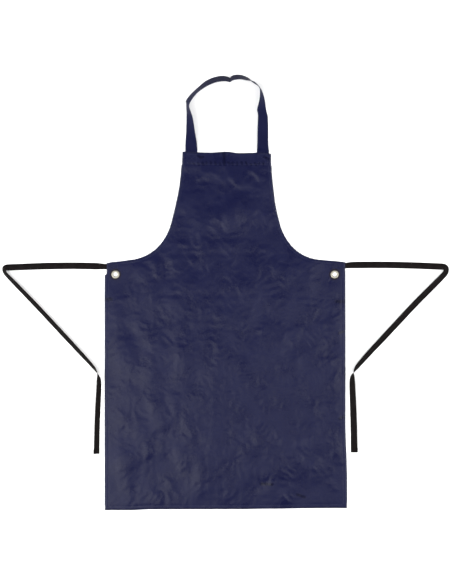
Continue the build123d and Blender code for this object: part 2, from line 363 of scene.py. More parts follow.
def makeTapeMaterial():
    material, tree, shader = startMaterial("blackTwillTape", tapeLook["roughness"], tapeLook["specular"])
    coordinates = tree.nodes.new("ShaderNodeTexCoord").outputs["UV"]
    twill = placeGroup(tree, twillGroup, coordinates)
    crumple = placeGroup(tree, crumpleGroup, coordinates, Mottle_Scale=60.0)
    fuzz = mapRange(tree, crumple.outputs["Mottle"], 0.35, 0.7, 0.0, 1.0)
    lift = math2(tree, "MULTIPLY", fuzz, twill.outputs["Height"], True)
    tree.links.new(mixColour(tree, lift, tapeLook["black"], tapeLook["faded"]), shader.inputs["Base Color"])
    addBump(tree, shader, twill.outputs["Height"], tapeLook["ribDepth"])
    return material


tapeMaterial = makeTapeMaterial()


def makeThreadMaterial(name, colour, paler):
    material, tree, shader = startMaterial(name, 0.55, 0.4)
    coordinates = tree.nodes.new("ShaderNodeTexCoord").outputs["Object"]
    twist = addNode(tree, "ShaderNodeTexWave", Scale=900.0, Distortion=1.0)
    twist.bands_direction = "DIAGONAL"
    tree.links.new(coordinates, twist.inputs["Vector"])
    tree.links.new(mixColour(tree, twist.outputs["Fac"], colour, paler), shader.inputs["Base Color"])
    addBump(tree, shader, twist.outputs["Fac"], 0.05 * mm)
    return material


navyThread = makeThreadMaterial("navySewingThread", (0.012, 0.014, 0.040), (0.022, 0.026, 0.062))
blackThread = makeThreadMaterial("blackSewingThread", (0.006, 0.006, 0.006), (0.016, 0.015, 0.015))

metalLook = {
    "pale": (0.56, 0.53, 0.45),
    "tarnished": (0.44, 0.39, 0.30),
    # painted shade: near-black colour for the flange's sloping faces, standing in for the dark cloth they
    # reflect
    "slopeShade": (0.018, 0.012, 0.009),
    "roughness": 0.55,
}


def makeEyeletMetal():
    material, tree, shader = startMaterial("paleEyeletMetal", metalLook["roughness"], 0.5, 1.0)
    coordinates = tree.nodes.new("ShaderNodeTexCoord").outputs["Object"]
    tarnish = addNode(tree, "ShaderNodeTexNoise", Scale=420.0, Detail=4.0, Roughness=0.6)
    scratches = addNode(tree, "ShaderNodeTexNoise", Scale=1500.0, Detail=2.0, Distortion=1.5)
    for made in (tarnish, scratches):
        tree.links.new(coordinates, made.inputs["Vector"])
    spots = mapRange(tree, tarnish.outputs["Fac"], 0.6, 0.85, 0.0, 1.0)
    plated = mixColour(tree, spots, metalLook["pale"], metalLook["tarnished"])
    # painted shade and reflection: where the metal slopes away from facing up its colour is darkened
    facing = tree.nodes.new("ShaderNodeSeparateXYZ")
    tree.links.new(tree.nodes.new("ShaderNodeNewGeometry").outputs["True Normal"], facing.inputs[0])
    slopeShadeMask = mapRange(tree, facing.outputs[2], 0.80, 0.975, 1.0, 0.0)
    tree.links.new(mixColour(tree, slopeShadeMask, plated, metalLook["slopeShade"]), shader.inputs["Base Color"])
    even = metalLook["roughness"]
    rough = mapRange(tree, tarnish.outputs["Fac"], 0.3, 0.8, even - 0.06, even + 0.1)
    tree.links.new(rough, shader.inputs["Roughness"])
    addBump(tree, shader, scratches.outputs["Fac"], 0.03 * mm)
    return material


eyeletMetal = makeEyeletMetal()
print("materials ready")


# Mesh helpers
def smoothStep(low, high, value):
    share = np.clip((value - low) / (high - low), 0.0, 1.0)
    return share * share * (3.0 - 2.0 * share)


def makeObject(name, points, faces, materials):
    mesh = bpy.data.meshes.new(name)
    mesh.from_pydata([tuple(point) for point in points], [], faces)
    for material in materials:
        mesh.materials.append(material)
    made = bpy.data.objects.new(name, mesh)
    scene.collection.objects.link(made)
    return made


def outwardNormals(made):
    shell = bmesh.new()
    shell.from_mesh(made.data)
    bmesh.ops.recalc_face_normals(shell, faces=shell.faces)
    shell.to_mesh(made.data)
    shell.free()


def smoothShade(made):
    made.data.polygons.foreach_set("use_smooth", [True] * len(made.data.polygons))


def applyModifier(made, kind, **settings):
    modifier = made.modifiers.new(kind.lower(), kind)
    for name, value in settings.items():
        setattr(modifier, name, value)
    bpy.ops.object.select_all(action="DESELECT")
    made.select_set(True)
    bpy.context.view_layer.objects.active = made
    bpy.ops.object.modifier_apply(modifier=modifier.name)


def smoothLine(points, step):
    # the points joined by one smooth curve and cut to about equal steps
    points = [np.array(point, float) for point in points]
    ends = [2 * points[0] - points[1]] + points + [2 * points[-1] - points[-2]]
    line = []
    for before, start, end, after in zip(ends, ends[1:], ends[2:], ends[3:]):
        cuts = max(1, round(float(np.linalg.norm((end - start)[:2])) / step))
        for cut in range(cuts):
            t = cut / cuts
            curve = (
                2 * start
                + (end - before) * t
                + (2 * before - 5 * start + 4 * end - after) * t**2
                + (3 * start - before - 3 * end + after) * t**3
            )
            line.append(curve / 2)
    line.append(points[-1])
    return np.array(line)


# Free waist ties: (outward from the panel's edge, above the seat's middle, lean in degrees from flat)
tie = {
    "width": 20.0 * mm,
    "thickness": 0.8 * mm,
    "step": 3.0 * mm,
    "foldStep": 1.0 * mm,  # closer sections where the tape folds at the panel
    "foldReach": 14.0 * mm,
    "gather": 0.8,  # share of its width that the tape keeps at the sewn end
    "gatherReach": 45.0 * mm,
    "foldStart": 0.6 * mm,
    "foldEnd": 6.0 * mm,
}
leftTieRoute = [
    (-0.0100, 0.0000, 0),
    (0.0030, 0.0004, 0),
    (0.0200, 0.0014, 12),
    (0.0820, 0.0029, 12),
    (0.1650, 0.0022, 12),
    (0.2280, 0.0001, 14),
    (0.2780, -0.0021, 16),
    (0.2945, -0.0020, 24),
    (0.2990, -0.0060, 46),
    (0.2975, -0.0160, 56),
    (0.2900, -0.0255, 53),
    (0.2620, -0.0544, 47),
    (0.2030, -0.1152, 45),
    (0.1210, -0.2037, 46),
    (0.0660, -0.2627, 50),
    (0.0310, -0.3007, 60),
    (0.0215, -0.3160, 84),
    (0.0175, -0.3320, 124),
    (0.0172, -0.3520, 133),
    (0.0205, -0.4127, 138),
    (0.0235, -0.4857, 139),
    (0.0245, -0.5547, 142),
]
rightTieRoute = [
    (-0.0100, 0.0016, 0),
    (0.0030, 0.0034, 0),
    (0.0200, 0.0050, 14),
    (0.0900, 0.0056, 14),
    (0.1500, 0.0050, 14),
    (0.2100, 0.0034, 14),
    (0.2770, 0.0006, 16),
    (0.2945, 0.0000, 22),
    (0.3000, -0.0050, 28),
    (0.2990, -0.0168, 34),
    (0.2905, -0.0268, 30),
    (0.2620, -0.0557, 24),
    (0.2060, -0.1112, 22),
    (0.1260, -0.1977, 24),
    (0.0720, -0.2547, 32),
    (0.0360, -0.2950, 44),
    (0.0260, -0.3100, 70),
    (0.0212, -0.3240, 124),
    (0.0205, -0.3420, 146),
    (0.0235, -0.4087, 157),
    (0.0260, -0.4817, 165),
    (0.0270, -0.5507, 170),
]


def curvePoints(name, points):
    # points read from one open NURBS line with these control points
    data = bpy.data.curves.new(name, "CURVE")
    data.dimensions = "3D"
    data.resolution_u = 12
    spline = data.splines.new("NURBS")
    spline.points.add(len(points) - 1)
    for place, point in zip(spline.points, points):
        place.co = (*point, 1.0)
    spline.order_u = 3
    spline.use_endpoint_u = True
    holder = bpy.data.objects.new(name, data)
    scene.collection.objects.link(holder)
    mesh = bpy.data.meshes.new_from_object(holder)
    line = np.array([vertex.co for vertex in mesh.vertices])
    bpy.data.objects.remove(holder)
    bpy.data.curves.remove(data)
    bpy.data.meshes.remove(mesh)
    return line


def lineLengths(line):
    return np.concatenate([[0.0], np.cumsum(np.linalg.norm(np.diff(line, axis=0), axis=1))])


def roundedSection(width, thickness, ripple=0.0):
    # closed outline of a flat strip, as (across, up) pairs, with soft edges and a dip beside each edge
    half = width / 2
    places = [-1.0, -0.94, -0.86, -0.78, -0.55, -0.25, 0.0, 0.25, 0.55, 0.78, 0.86, 0.94, 1.0]
    heights = [0.45, 1.0, 1.0 - ripple, 1.0, 1.0, 1.0, 1.0, 1.0, 1.0, 1.0, 1.0 - ripple, 1.0, 0.45]
    top = [(place * half, height * thickness / 2) for place, height in zip(places, heights)]
    return top + [(across, -up) for across, up in reversed(top)]


def makeStrip(name, centres, acrosses, ups, section, materials):
    # a closed strip through the given cross-sections, with a UV map in metres along and across it
    points = []
    for centre, across, up in zip(centres, acrosses, ups):
        points += [centre + across * side + up * rise for side, rise in section]
    faces = []
    count = len(section)
    for ring in range(len(centres) - 1):
        first = ring * count
        for spot in range(count):
            after = (spot + 1) % count
            faces.append((first + spot, first + after, first + count + after, first + count + spot))
    faces.append(tuple(range(count)))
    faces.append(tuple(reversed(range(len(points) - count, len(points)))))
    made = makeObject(name, points, faces, materials)
    lengths = lineLengths(np.array(centres))
    layer = made.data.uv_layers.new(name="stripMap")
    for loop in made.data.loops:
        ring, spot = divmod(loop.vertex_index, count)
        layer.data[loop.index].uv = (section[spot][0], lengths[ring])
    outwardNormals(made)
    smoothShade(made)
    return made


def stationsAlong(line, places):
    lengths = lineLengths(line)
    return np.array([np.interp(places, lengths, line[:, axis]) for axis in range(3)]).T


def layTie(name, route, side):
    # side is -1 for the tie at -X and 1 for the one at +X
    half = tie["width"] / 2
    control = []
    for out, above, lean in route:
        height = half * abs(math.sin(math.radians(lean))) + tie["thickness"] / 2
        control.append((side * (halfSkirt + out), tieLevel + above, height))
    line = curvePoints(name + "Line", control)
    lengths = lineLengths(line)
    nearest = [int(np.argmin(np.linalg.norm(line - np.array(point), axis=1))) for point in control]
    places = np.arange(0.0, tie["foldReach"], tie["foldStep"])
    cuts = round((lengths[-1] - tie["foldReach"]) / tie["step"])
    places = np.concatenate([places, np.linspace(tie["foldReach"], lengths[-1], cuts)])
    leans = np.radians(np.interp(places, lengths[nearest], [lean for out, above, lean in route]))
    kernel = np.array([0.25, 0.5, 0.25])
    for turn in range(4):
        leans[1:-1] = np.convolve(leans, kernel, "valid")
    centres = stationsAlong(line, places)
    centres[:, 2] = half * np.abs(np.sin(leans)) + tie["thickness"] / 2
    along = np.gradient(centres, places, axis=0)
    along[:, 2] = 0.0
    along /= np.linalg.norm(along, axis=1)[:, None]
    inward = np.stack([-along[:, 1], along[:, 0], np.zeros(len(along))], axis=1) * -side
    upward = np.array([0.0, 0.0, 1.0])
    acrosses = inward * np.cos(leans)[:, None] + upward * np.sin(leans)[:, None]
    ups = -inward * np.sin(leans)[:, None] + upward * np.cos(leans)[:, None]
    section = roundedSection(tie["width"], tie["thickness"], 0.12)
    gather = tie["gather"] + (1.0 - tie["gather"]) * smoothStep(0.0, tie["gatherReach"], places)
    tape = makeStrip(name, centres, acrosses * gather[:, None], ups, section, [tapeMaterial])
    return tape, centres, acrosses, ups


def layTip(name, centres, acrosses, ups, tuck):
    # the end of the tape turned back on itself and sewn down
    depth = tuck["depth"]
    lift = tie["thickness"] / 2 + tuck["gap"]
    end, back = centres[-1], centres[-1] - centres[-4]
    along = back / np.linalg.norm(back)
    across, up = acrosses[-1], ups[-1]
    path = [end - along * 0.2 * mm]
    for step in range(7):
        turn = math.pi * step / 6
        path.append(end + along * lift * math.sin(turn) + up * lift * (1 - math.cos(turn)))
    path += [end - along * depth * share + up * 2 * lift for share in (0.2, 0.5, 0.8, 1.0)]
    path = np.array(path)
    steps = np.gradient(path, axis=0)
    steps /= np.linalg.norm(steps, axis=1)[:, None]
    rises = np.cross(steps, across)
    rises *= np.sign(np.dot(rises[0], up))
    section = roundedSection(tie["width"] * tuck["flare"], tie["thickness"], 0.12)
    return makeStrip(name, path, [across] * len(path), rises, section, [tapeMaterial])


tipTuck = {"depth": 12.0 * mm, "gap": 0.05 * mm, "flare": 1.03}


def layWaistTape(sideName, side, route):
    body = f"{sideName}_tie"
    tape, centres, acrosses, ups = layTie(f"{sideName}_waist_tape", route, side)
    tip = layTip(f"{sideName}_tape_tip", centres, acrosses, ups, tipTuck)
    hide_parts(body)
    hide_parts(f"{sideName}_tie_tip_fold")
    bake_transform(tape)
    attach(tip, body)


for sideName, side, route in (("left", -1, leftTieRoute), ("right", 1, rightTieRoute)):
    layWaistTape(sideName, side, route)


# Front panel
panel = {
    "bibWidth": 264.0 * mm,
    "sideRadius": 800.0 * mm,
    "sideTurn": 15.6,  # degrees
    "armholeRadius": 144.0 * mm,
    "armholeTurn": 66.0,  # degrees
    "armholeHem": 10.0 * mm,
    "thickness": 0.8 * mm,
    "meshStep": 4.2 * mm,
    "seamInset": 2.0 * mm,  # seam line to the raw edge of the turned layer
    "seamPinch": 0.35 * mm,
    "seamReach": 1.3 * mm,  # half the width of the pinched groove
    "pucker": 0.25 * mm,
    "puckerReach": 7.0 * mm,
    "eyeletHole": 7.1 * mm,
    "strapLiftReach": 26.0 * mm,  # how far the lift of a strap end spreads sideways
}
# cuts of each stretch of the edge, from the top's middle round to the bottom's middle
edgeCuts = {"top": 32, "side": 50, "armhole": 45, "shoulder": 19, "flank": 182, "base": 89}


def panelEdge(inset):
    # right half of the panel's edge, drawn in by inset, with its stretches kept apart
    sideTurn = math.radians(panel["sideTurn"])
    lastTurn = sideTurn + math.radians(panel["armholeTurn"])
    sideCentre = np.array([panel["bibWidth"] / 2 + panel["sideRadius"], bibTop])
    facing = np.array([math.cos(sideTurn), math.sin(sideTurn)])
    armCentre = sideCentre - facing * (panel["sideRadius"] - panel["armholeRadius"])
    sideReach = panel["sideRadius"] + inset
    armReach = panel["armholeRadius"] + inset

    def arc(centre, radius, first, last, cuts):
        turns = np.linspace(first, last, cuts + 1)
        return centre - radius * np.stack([np.cos(turns), np.sin(turns)], axis=1)

    def straight(first, last, cuts):
        return np.linspace(first, last, cuts + 1)

    side = arc(sideCentre, sideReach, math.asin(inset / sideReach), sideTurn, edgeCuts["side"])
    armhole = arc(armCentre, armReach, sideTurn, lastTurn, edgeCuts["armhole"])
    plain = armCentre - panel["armholeRadius"] * np.array([math.cos(lastTurn), math.sin(lastTurn)])
    slope = (waist - plain[1]) / (halfSkirt - plain[0])
    corner = np.array([halfSkirt - inset, armhole[-1][1] + slope * (halfSkirt - inset - armhole[-1][0])])
    return {
        "top": straight((0.0, bibTop - inset), side[0], edgeCuts["top"]),
        "side": side,
        "armhole": armhole,
        "shoulder": straight(armhole[-1], corner, edgeCuts["shoulder"]),
        "flank": straight(corner, (halfSkirt - inset, bottom + inset), edgeCuts["flank"]),
        "base": straight((halfSkirt - inset, bottom + inset), (0.0, bottom + inset), edgeCuts["base"]),
    }


def joinRuns(runs):
    joined = [runs[0]]
    joined += [run[1:] for run in runs[1:]]
    return np.concatenate(joined)


plainEdge = panelEdge(0.0)
halfEdge = joinRuns(list(plainEdge.values()))
shoulderRun = joinRuns([plainEdge["side"], plainEdge["armhole"], plainEdge["shoulder"]])


def halfWidthAt(y):
    return np.interp(-y, -shoulderRun[:, 1], shoulderRun[:, 0])


def mirrored(run):
    return run * np.array([-1.0, 1.0])


# How the laid cloth has shifted sideways and lengthways: (place, shift) pairs in millimetres
settle = {
    "bibShift": [(60, 0.0), (230, 1.2), (330, 3.6), (414, 5.0)],  # to +X, by height
    "topLift": [(-132, 0.5), (-80, -1.5), (-45, -2.0), (-2, 0.5), (40, -3.5), (95, -2.5), (132, -5.0)],
    "topReach": [(330, 0.0), (414, 1.0)],
    "baseLift": [(-357, -4.0), (-280, -3.8), (-220, -1.4), (44, -1.1), (134, 0.0), (282, 1.9), (357, 2.0)],
    "baseReach": [(-644, 1.0), (-480, 0.0)],
    "flankShift": [(-560, 5.0), (-380, 0.0)],  # to +X, by height
    "flankReach": [(230, 0.0), (356, 1.0)],
    "cornerPull": 5.4,  # the -X waist corner, drawn in by its tape
    "cornerReach": [(-351, 1.0), (-339, 0.0)],
    "cornerFrom": [(48, 0.0), (52, 1.0)],
    "cornerLift": 2.6,  # the +X waist corner
    "liftReach": [(250, 0.0), (345, 1.0)],
    "liftFrom": [(64, 0.0), (80, 1.0), (100, 1.0), (150, 0.0)],
    "hemStep": 0.8,  # the top hem is drawn in a little
    "hemStepReach": (90.0 * mm, 125.0 * mm),
    "armholeLift": [(130, 0.0), (170, -1.2), (215, -3.2), (290, -1.4), (350, 0.0)],  # by distance outwards
    "armholeReach": [(70, 0.0), (92, 1.0), (150, 1.0), (190, 0.0)],
}


def eased(pairs, values):
    # smooth course through (place, value) pairs
    places, heights = zip(*pairs)
    spots = np.clip(values / mm, places[0], places[-1])
    index = np.clip(np.searchsorted(places, spots, "right") - 1, 0, len(places) - 2)
    low, high = np.array(places, float)[index], np.array(places, float)[index + 1]
    first, last = np.array(heights, float)[index], np.array(heights, float)[index + 1]
    return first + (last - first) * smoothStep(low, high, spots)


def settled(run):
    # where the flat places of the cut cloth have come to lie
    xs, ys = run[:, 0], run[:, 1]
    across = eased(settle["bibShift"], ys)
    across += eased(settle["flankShift"], ys) * eased(settle["flankReach"], xs)
    across += settle["cornerPull"] * eased(settle["cornerReach"], xs) * eased(settle["cornerFrom"], ys)
    step = smoothStep(hemTopEdge - 2 * mm, hemTopEdge + 2 * mm, ys)
    step = step * smoothStep(*settle["hemStepReach"], np.abs(xs))
    across -= settle["hemStep"] * step * np.sign(xs)
    upward = eased(settle["topLift"], xs) * eased(settle["topReach"], ys)
    upward += eased(settle["baseLift"], xs) * eased(settle["baseReach"], ys)
    upward += eased(settle["armholeLift"], np.abs(xs)) * eased(settle["armholeReach"], ys)
    upward += settle["cornerLift"] * eased(settle["liftReach"], xs) * eased(settle["liftFrom"], ys)
    return run + np.column_stack([across, upward]) * mm


def unsettled(run):
    # the places of the cut cloth that have come to lie at run
    return 2 * run - settled(run)


# Seam lines of the panel, by the hem that they hold
bottomSeam = bottom + bottomHemDepth - panel["seamInset"]
topSeam = bibTop - topHemDepth + panel["seamInset"]
sideSeam = halfSkirt - sideHemDepth + panel["seamInset"]
armholeDepth = panel["armholeHem"] - panel["seamInset"]
seatEdge = halfSkirt - tieSeat
hemTopEdge = bibTop - topHemDepth - 0.5 * mm


def armholeRun(inset):
    runs = panelEdge(inset)
    run = joinRuns([runs["side"], runs["armhole"], runs["shoulder"]])
    keep = (run[:, 1] < hemTopEdge) & (run[:, 0] < seatEdge)
    return run[keep]


def seamLines(shift):
    # each seam moved inward by shift
    ends = panel["bibWidth"] / 2 - panel["armholeHem"]
    flankEnds = halfSkirt - sideHemDepth
    low = bottomSeam + 1.2 * mm
    return {
        "top_hem": [np.array([(-ends, topSeam - shift), (ends, topSeam - shift)])],
        "bottom_hem": [np.array([(-flankEnds, bottomSeam + shift), (flankEnds, bottomSeam + shift)])],
        "right_side": [np.array([(sideSeam - shift, low), (sideSeam - shift, sideHemTop)])],
        "left_side": [np.array([(shift - sideSeam, low), (shift - sideSeam, sideHemTop)])],
        "right_armhole": [armholeRun(armholeDepth + shift)],
        "left_armhole": [mirrored(armholeRun(armholeDepth + shift))],
    }


# Wrinkles listed one by one: (height, width of the left slope, width of the right slope, points along the
# top),
# in millimetres from the panel's middle; a negative height is a valley
handCreases = [
    # storage folds: the broad roofs and the sharp lines along their tops
    (3.2, 105, 90, [(-28, -40), (-30, -300), (-26, -470), (-27, -644)]),
    (2.4, 70, 60, [(-356, -16), (-200, -14), (40, -14), (200, -16), (356, -22)]),
    (2.0, 60, 50, [(10, 400), (8, 300), (4, 160)]),
    (-0.5, 9, 5, [(-350, -14), (-230, -9), (-90, -12), (60, -10), (200, -14), (352, -20)]),
    (0.9, 14, 8, [(-118, 134), (-30, 131), (60, 134), (150, 132)]),
    (0.8, 16, 7, [(-30, -10), (-28, -160), (-33, -320), (-30, -520)]),
    (0.5, 12, 6, [(-74, 268), (-76, 120), (-73, -24)]),
    (0.6, 7, 5, [(87, 268), (88, 200), (90, 145)]),
    (0.7, 8, 5, [(-84, 295), (-88, 240), (-86, 185)]),
    # bib
    (-0.9, 4, 3, [(-7, 412), (-7, 376)]),
    (1.6, 12, 6, [(-95, 328), (-68, 345), (-48, 366)]),
    (-1.6, 14, 14, [(-30, 345), (-45, 325), (-62, 308)]),
    (1.4, 8, 5, [(2, 352), (26, 328), (46, 303)]),
    (1.8, 10, 6, [(56, 374), (84, 350), (118, 328)]),
    (-1.2, 8, 6, [(62, 352), (86, 330), (104, 316)]),
    (2.2, 18, 12, [(12, 286), (16, 256), (10, 214), (14, 170)]),
    (1.5, 12, 9, [(-36, 262), (-26, 226), (-30, 196)]),
    (-0.9, 5, 5, [(-34, 280), (-12, 284)]),
    (1.2, 14, 10, [(-128, 300), (-128, 262), (-126, 224)]),
    (1.0, 14, 9, [(-60, 165), (-62, 138), (-54, 108)]),
    (1.2, 6, 5, [(-146, 144), (-122, 137), (-102, 134)]),
    (1.5, 9, 5, [(-128, 126), (-106, 98), (-84, 74)]),
    (1.3, 12, 8, [(120, 240), (122, 200), (116, 160)]),
    (1.0, 10, 6, [(142, 110), (118, 128), (92, 118)]),
    # folds that run in from the waist corners
    (1.8, 12, 8, [(-157, 112), (-156, 84), (-146, 50)]),
    (1.8, 12, 8, [(-206, 112), (-207, 70), (-196, 30)]),
    (0.9, 12, 8, [(-256, 92), (-254, 60), (-257, 28)]),
    (0.9, 8, 6, [(-282, 84), (-300, 48), (-316, 6)]),
    (1.2, 8, 5, [(-262, 74), (-284, 50), (-304, 22)]),
    (0.4, 7, 5, [(268, 86), (276, 72), (284, 60)]),
    (1.2, 7, 5, [(211, 84), (216, 66), (222, 48)]),
    (0.8, 10, 7, [(256, 56), (244, 34), (232, 10)]),
    (1.2, 10, 7, [(190, 66), (176, 34), (170, 4)]),
    (0.8, 9, 6, [(300, 26), (318, 4), (338, -18)]),
    (1.0, 9, 6, [(138, 104), (146, 78), (140, 50)]),
    # left of the skirt
    (2.1, 26, 10, [(-268, -60), (-252, -110), (-222, -150), (-214, -184), (-238, -262)]),
    (1.4, 17, 9, [(-144, -126), (-136, -182), (-122, -232)]),
    (1.6, 14, 8, [(-122, -112), (-112, -150), (-106, -176)]),
    (2.2, 30, 18, [(-322, -40), (-318, -140), (-322, -250)]),
    (2.4, 30, 16, [(-300, -280), (-296, -360), (-306, -430)]),
    (1.8, 18, 10, [(-220, -300), (-214, -360), (-196, -420)]),
    (1.9, 28, 11, [(-318, -452), (-306, -520), (-300, -604)]),
    (-1.6, 10, 12, [(-270, -506), (-268, -560), (-272, -612)]),
    (2.2, 10, 7, [(-236, -446), (-230, -474), (-214, -506)]),
    (1.7, 12, 8, [(-196, -430), (-188, -470), (-198, -512)]),
    (1.6, 10, 7, [(-214, -546), (-176, -560), (-148, -590)]),
    (1.1, 11, 8, [(-156, -456), (-136, -500), (-108, -548)]),
    (1.5, 10, 7, [(-134, -360), (-110, -400), (-86, -440)]),
    (-1.3, 12, 12, [(-160, -470), (-150, -540), (-104, -598)]),
    (1.2, 10, 8, [(-82, -500), (-80, -570), (-82, -634)]),
    (1.4, 8, 6, [(-200, -588), (-198, -640)]),
    (1.3, 12, 9, [(-168, -290), (-150, -340), (-158, -392)]),
    # middle and right of the skirt
    (1.2, 14, 9, [(-14, -104), (-12, -150), (-16, -196)]),
    (1.3, 12, 8, [(124, -92), (112, -120), (112, -160)]),
    (1.3, 10, 7, [(176, -126), (164, -150), (160, -168)]),
    (-1.6, 14, 12, [(244, -124), (212, -154), (176, -196)]),
    (1.8, 18, 10, [(228, -96), (212, -126), (206, -150)]),
    (1.9, 16, 9, [(292, -78), (286, -112), (296, -142)]),
    (1.8, 20, 12, [(328, -60), (326, -112), (332, -160)]),
    (1.6, 10, 6, [(278, -206), (306, -214), (334, -222)]),
    (2.0, 11, 7, [(342, -236), (326, -262), (316, -300)]),
    (1.3, 12, 8, [(244, -160), (250, -196), (262, -226)]),
    (1.2, 20, 12, [(322, -320), (326, -370), (320, -410)]),
    (2.4, 11, 7, [(232, -430), (212, -462), (202, -486), (230, -520)]),
    (2.2, 16, 8, [(280, -486), (264, -520), (262, -590)]),
    (2.3, 18, 12, [(312, -472), (336, -486), (334, -520)]),
    (1.4, 9, 6, [(300, -560), (320, -580), (346, -590)]),
    (1.4, 7, 5, [(170, -596), (178, -616), (188, -638)]),
    (1.0, 8, 6, [(176, -462), (182, -482), (184, -500)]),
    (-1.2, 12, 9, [(96, -570), (118, -568), (140, -572)]),
    (-1.2, 12, 9, [(216, -604), (238, -610), (256, -602)]),
    (-0.9, 10, 8, [(118, -614), (146, -616), (168, -620)]),
]
wrinkle = {
    "gain": [(-200, 0.8), (60, 0.85), (230, 1.3), (320, 0.8)],  # by height
    "widen": 1.6,
    "wander": 6.0 * mm,  # how far noise bends a wrinkle off its line
    "wanderSize": 38.0 * mm,
    "lineStep": 9.0,
    "taper": 0.3,  # share of a wrinkle's length over which each end dies away
    "swell": 3.0 * mm,
    "swellSize": 130.0 * mm,
    "ripple": 2.1 * mm,
    "rippleSize": 52.0 * mm,
    "crumple": 0.8 * mm,
    "crumpleSize": 24.0 * mm,
}


def creaseHeights(xs, ys):
    # all the hand-set wrinkles at the given places
    size = wrinkle["wanderSize"]
    drift = np.array([noise.noise_vector(Vector((x, y, 9.0)) / size) for x, y in zip(xs, ys)])
    gains = eased(wrinkle["gain"], ys)
    xs = xs + wrinkle["wander"] * drift[:, 0]
    ys = ys + wrinkle["wander"] * drift[:, 1]
    total = np.zeros(len(xs))
    for height, leftWidth, rightWidth, points in handCreases:
        line = smoothLine(points, wrinkle["lineStep"]) * mm
        lengths = lineLengths(line)
        reach = 3.0 * wrinkle["widen"] * max(leftWidth, rightWidth) * mm
        near = np.flatnonzero(
            (xs > line[:, 0].min() - reach)
            & (xs < line[:, 0].max() + reach)
            & (ys > line[:, 1].min() - reach)
            & (ys < line[:, 1].max() + reach)
        )
        if not len(near):
            continue
        best = np.full(len(near), 9.0)
        side = np.zeros(len(near))
        place = np.zeros(len(near))
        for spot in range(len(line) - 1):
            run = line[spot + 1] - line[spot]
            length = lengths[spot + 1] - lengths[spot]
            dx = xs[near] - line[spot][0]
            dy = ys[near] - line[spot][1]
            share = np.clip((dx * run[0] + dy * run[1]) / length**2, 0.0, 1.0)
            away = np.hypot(dx - share * run[0], dy - share * run[1])
            closer = away < best
            best = np.where(closer, away, best)
            side = np.where(closer, np.sign(run[0] * dy - run[1] * dx), side)
            place = np.where(closer, (lengths[spot] + share * length) / lengths[-1], place)
        width = np.where(side > 0, leftWidth, rightWidth) * wrinkle["widen"] * mm
        ends = np.minimum(place, 1.0 - place) / wrinkle["taper"]
        fade = smoothStep(0.0, 1.0, 0.15 + 0.85 * ends)
        total[near] += height * mm * fade * np.exp(-((best / width) ** 2))
    return total * gains


def noiseHeights(xs, ys):
    heights = []
    for x, y in zip(xs, ys):
        swell = noise.noise(Vector((x, y, 0.31)) / wrinkle["swellSize"])
        ripple = noise.noise(Vector((x, y * 0.8, 1.7)) / wrinkle["rippleSize"])
        drift = noise.noise_vector(Vector((x, y, 4.0)) / wrinkle["rippleSize"]) * 0.35
        spot = Vector((x, y, 0.0)) / wrinkle["crumpleSize"] + drift
        crumple = 0.5 - abs(noise.noise(spot)) * 1.6
        heights.append(
            wrinkle["swell"] * swell + wrinkle["ripple"] * ripple + wrinkle["crumple"] * crumple
        )
    return np.array(heights)


def stripDistance(xs, ys):
    # roughly how far a place is inside the panel's edge
    toSide = halfWidthAt(ys) - np.abs(xs)
    toEnds = np.minimum(bibTop - ys, ys - bottom)
    return np.minimum(toSide, toEnds)


# Where the wrinkles fade: round the eyelets and tape seats, at the edges and at one smoother spot
calming = {
    "eyeletFade": 62 * mm,
    "seatHalf": 11 * mm,
    "seatFade": 60 * mm,
    "edgeLeast": 0.6,
    "edgeFade": 40 * mm,
    "spot": (268 * mm, 62 * mm),
    "spotSpread": (58 * mm, 70 * mm),
    "spotDepth": 0.45,
}


def clothTop(xs, ys):
    # height of the panel's front face
    xs = np.asarray(xs, float)
    ys = np.asarray(ys, float)
    climb = smoothStep(hemTopEdge - 30 * mm, hemTopEdge, ys)
    beside = np.zeros(len(xs))
    laid = settled(np.column_stack([xs, ys]))
    for seat in strapSeats:
        away = np.abs(laid[:, 0] - seat.x) - strapWidth / 2
        beside = np.maximum(beside, 1.0 - smoothStep(0.0, panel["strapLiftReach"], away))
    lift = strapLayer * climb * beside
    heights = creaseHeights(xs, ys) + noiseHeights(xs, ys)
    heights += 0.9 * mm  # so that most valleys stay above the hems' level
    heights = np.maximum(heights, 0.0) + 0.15 * mm * np.exp(-np.abs(heights) / (0.4 * mm))
    toEyelet = np.hypot(np.abs(xs) - eyeletMiddle.x, ys - eyeletMiddle.y)
    calm = smoothStep(eyeletReach + 1.0 * mm, eyeletReach + calming["eyeletFade"], toEyelet)
    besideSeat = np.maximum(seatEdge - np.abs(xs), 0.0)
    aboveSeat = np.maximum(np.abs(ys - tieLevel) - calming["seatHalf"], 0.0)
    calm *= smoothStep(0.0, calming["seatFade"], np.hypot(besideSeat, aboveSeat))
    edgeRise = smoothStep(0.0, calming["edgeFade"], stripDistance(xs, ys))
    calm *= calming["edgeLeast"] + (1.0 - calming["edgeLeast"]) * edgeRise
    spotAcross = (xs - calming["spot"][0]) / calming["spotSpread"][0]
    spotUp = (ys - calming["spot"][1]) / calming["spotSpread"][1]
    calm *= 1.0 - calming["spotDepth"] * np.exp(-(spotAcross**2) - (spotUp**2))
    return panelUnder + panel["thickness"] + lift + heights * calm


